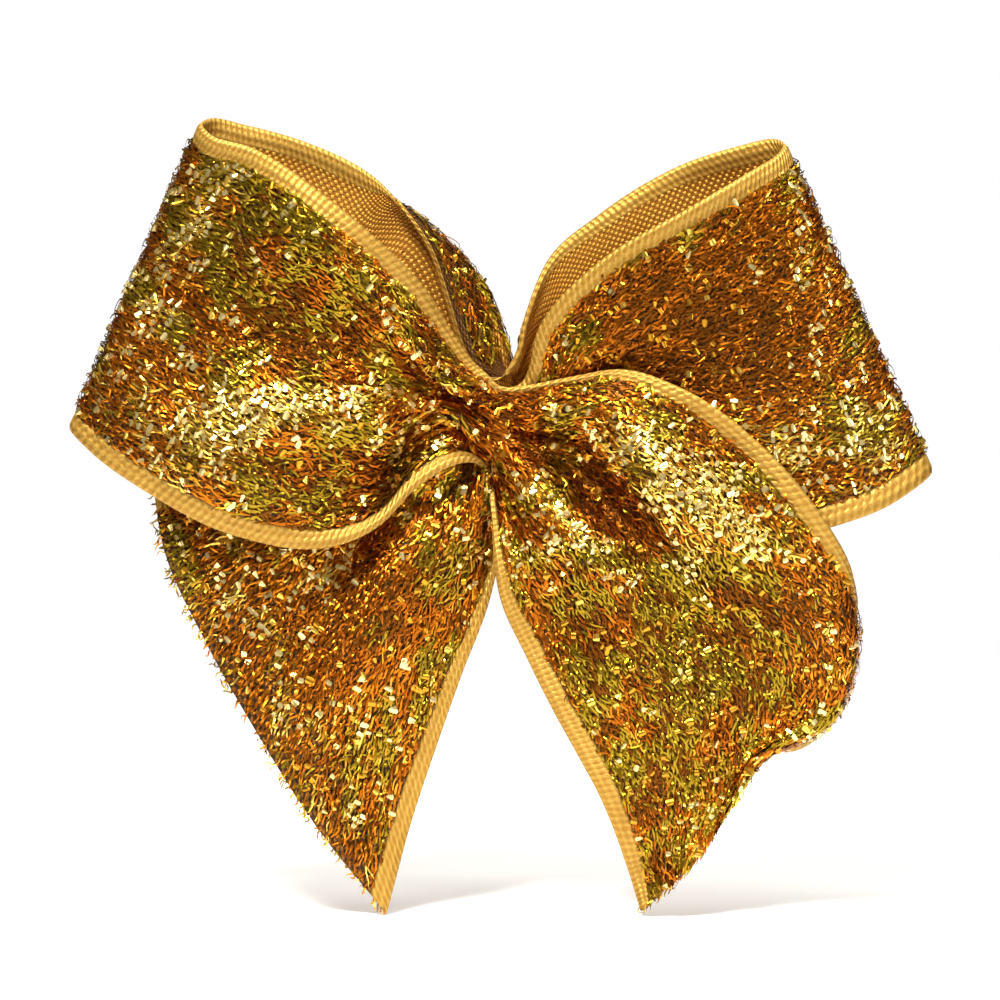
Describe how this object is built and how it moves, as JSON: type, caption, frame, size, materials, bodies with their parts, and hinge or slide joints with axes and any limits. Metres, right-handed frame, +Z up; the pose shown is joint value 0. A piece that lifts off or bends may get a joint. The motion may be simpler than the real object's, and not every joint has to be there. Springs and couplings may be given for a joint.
{
  "type": "cheer hair bow",
  "caption": "Hair bow of gold metallic pile ribbon with two open loops and two slant-cut tails, pinched at the centre and glued to a toothed, spring-loaded alligator clip.",
  "frame": {"origin": "middle of the gap between the clip's jaws, straight behind the bow's pinched centre, where the hair is gripped", "axes": "+Z up as worn, -Y out of the front of the bow, +X towards the clip's handle and the tail that lies in front"},
  "size_m": [0.0968, 0.0255, 0.088],
  "materials": {
    "ribbon": "gold metallic pile on one side, plain gold weave on the other",
    "thread": "gold thread",
    "glue": "cloudy hot-melt glue",
    "clip_steel": "nickel-plated sheet steel",
    "spring_steel": "plain drawn wire"
  },
  "bodies": {
    "bow": {"left_loop": "ribbon", "right_loop": "ribbon", "left_tail": "ribbon", "right_tail": "ribbon", "centre_gather": "ribbon", "binding_thread": "thread", "glue_pad": "glue", "clip_top_jaw": "clip_steel", "hinge_pin": "clip_steel", "torsion_spring": "spring_steel"},
    "bottom_jaw": {"clip_bottom_jaw": "clip_steel"}
  },
  "joints": [
    {"name": "clip_jaw_hinge", "type": "hinge", "parent": "bow", "child": "bottom_jaw", "pos_m": [0.006, 0, 0], "axis": [0, 0, -1], "range_deg": [0, 28], "stiffness_Nm_per_rad": 0.02, "springref_deg": -34.38, "deforming": ["torsion_spring"]}
  ]
}
